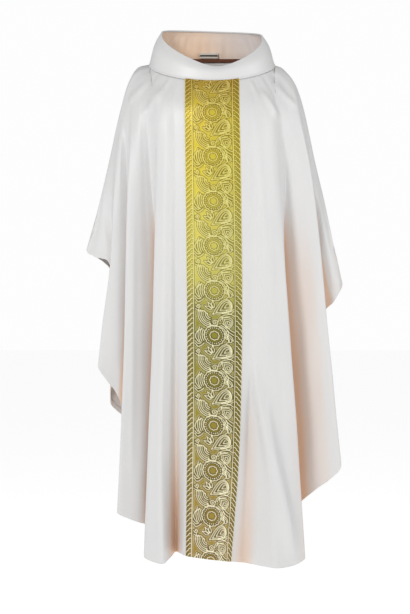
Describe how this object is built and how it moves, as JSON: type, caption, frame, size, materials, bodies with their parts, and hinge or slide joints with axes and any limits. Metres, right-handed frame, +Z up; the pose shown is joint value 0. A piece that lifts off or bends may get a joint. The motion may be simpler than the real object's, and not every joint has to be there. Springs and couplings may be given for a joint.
{
  "type": "chasuble",
  "caption": "Gothic chasuble with a standing roll collar and a brocade orphrey down the front and back, as it hangs on a wearer with the arms down.",
  "frame": {"origin": "middle of the neck opening, level with the tops of the shoulders, where the wearer carries the garment", "axes": "+Z up along the wearer's body, -Y to the front, +X to the wearer's left"},
  "size_m": [0.665, 0.3767, 1.3838],
  "materials": {
    "shell_cloth": "ivory polyester, plain weave, soft sheen",
    "facing_cloth": "ivory polyester, plain weave, matt",
    "gold_brocade": "jacquard brocade with metallic gold thread",
    "interlining": "stiff non-woven interlining",
    "cotton_tape": "woven cotton tape",
    "woven_label": "blank woven label"
  },
  "bodies": {
    "root": {"front_panel": "shell_cloth", "back_panel": "shell_cloth", "front_orphrey": "gold_brocade", "back_orphrey": "gold_brocade", "front_orphrey_backing": "interlining", "back_orphrey_backing": "interlining", "collar_outer": "shell_cloth", "collar_facing": "facing_cloth", "collar_interfacing": "interlining", "neck_binding": "cotton_tape", "shoulder_tape_left": "cotton_tape", "shoulder_tape_right": "cotton_tape", "neck_label": "woven_label"}
  },
  "joints": []
}
